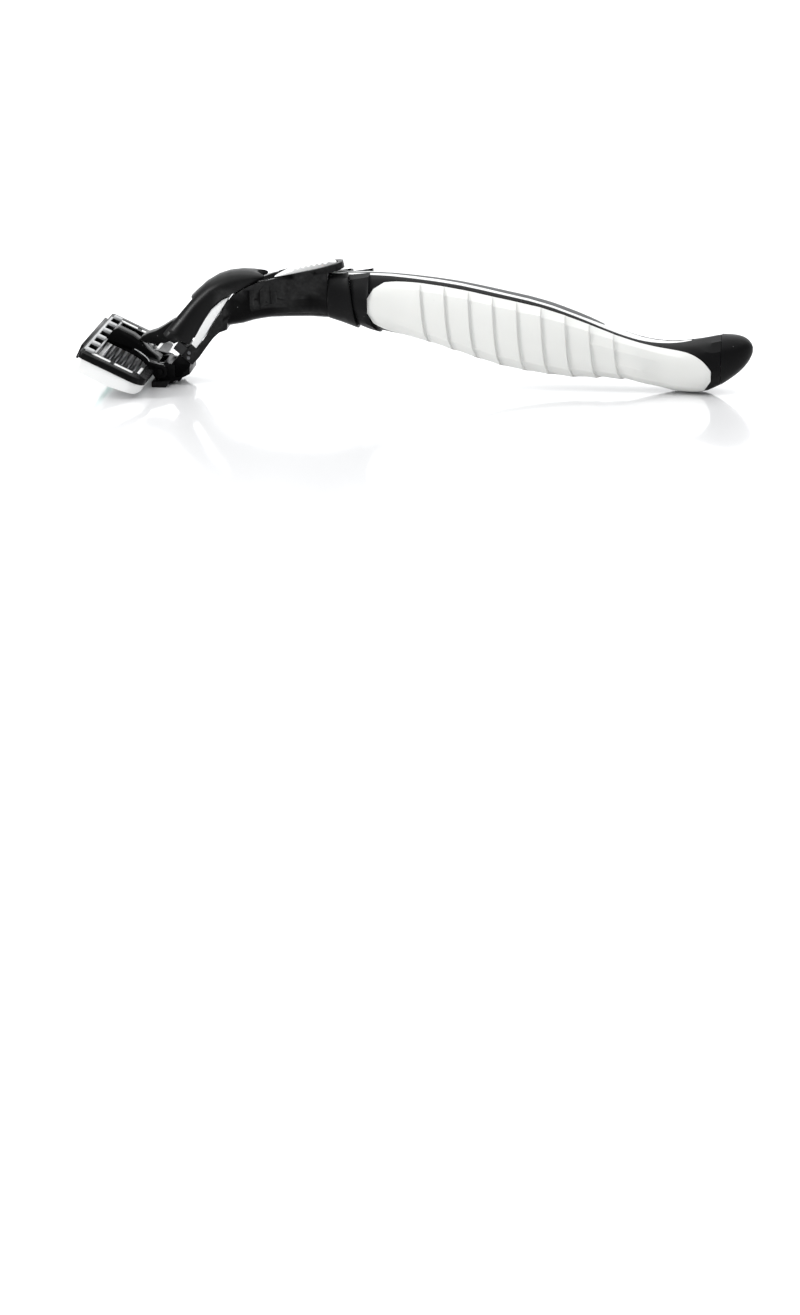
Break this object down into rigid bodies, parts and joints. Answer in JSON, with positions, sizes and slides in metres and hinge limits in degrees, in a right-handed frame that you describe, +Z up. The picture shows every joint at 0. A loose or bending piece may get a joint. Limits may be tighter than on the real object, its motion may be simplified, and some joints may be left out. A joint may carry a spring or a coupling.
{
  "type": "cartridge razor",
  "caption": "Wet-shaving razor with a curved handle, ribbed side grips, a thumb release button and a pivoting blade cartridge.",
  "frame": {"origin": "middle of the footprint, on the surface that the razor lies on", "axes": "+X from the head to the tail, +Y to the right side seen from the tail, +Z up; Y = 0 is the mirror plane"},
  "size_m": [0.1414, 0.042, 0.0265],
  "materials": {
    "soft_black": "soft-touch satin black",
    "gloss_black": "moulded gloss black",
    "satin_black": "moulded satin black",
    "grip_white": "soft translucent white",
    "white_plastic": "moulded white",
    "insert_grey": "dark grey, fine matte",
    "dock_grey": "dark grey, fine matte",
    "steel": "ground steel",
    "strip_green": "waxy teal green",
    "guard_grey": "soft light grey"
  },
  "bodies": {
    "handle": {"core_spine": "white_plastic", "handle_shell": "soft_black", "tail_cap": "soft_black", "grip_left": "grip_white", "grip_right": "grip_white", "top_inlay": "white_plastic", "top_insert": "insert_grey", "collar": "soft_black", "neck_housing": "gloss_black", "arm_cover": "satin_black", "dock_head": "dock_grey", "dock_pins": "steel", "eject_spring": "steel"},
    "button": {"eject_button": "white_plastic"},
    "fork": {"eject_fork": "dock_grey"},
    "plunger": {"pivot_plunger": "satin_black"},
    "connector": {"connector": "gloss_black"},
    "cartridge": {"cartridge_frame": "gloss_black", "cartridge_housing": "white_plastic", "lubricating_strip": "strip_green", "guard_fins": "guard_grey", "trimmer_guard": "gloss_black", "trimmer_blade": "steel", "blade_1": "steel", "blade_2": "steel", "blade_3": "steel", "blade_4": "steel", "blade_5": "steel", "blade_6": "steel"}
  },
  "joints": [
    {"name": "cartridge_release", "type": "slide", "parent": "handle", "child": "connector", "axis": [-0.6428, 0, -0.766], "range_m": [0, 0.012]},
    {"name": "cartridge_pivot", "type": "hinge", "parent": "connector", "child": "cartridge", "pos_m": [-0.05396, 0, 0.003], "axis": [0, 1, 0], "range_deg": [0, 40], "stiffness_Nm_per_rad": 0.004, "springref_deg": -11.46},
    {"name": "plunger_slide", "type": "slide", "parent": "handle", "child": "plunger", "axis": [0.6428, 0, 0.766], "range_m": [0, 0.0062]},
    {"name": "button_slide", "type": "slide", "parent": "handle", "child": "button", "axis": [-0.977, 0, -0.213], "range_m": [0, 0.003], "stiffness_N_per_m": 300, "springref_m": -0.002, "deforming": ["eject_spring"]},
    {"name": "fork_slide", "type": "slide", "parent": "handle", "child": "fork", "axis": [-0.6428, 0, -0.766], "range_m": [0, 0.003]}
  ],
  "couplings": [
    {"joint": "cartridge_pivot", "follows": "plunger_slide", "rad_per_m": 112.6},
    {"joint": "fork_slide", "follows": "button_slide", "ratio": 1}
  ]
}
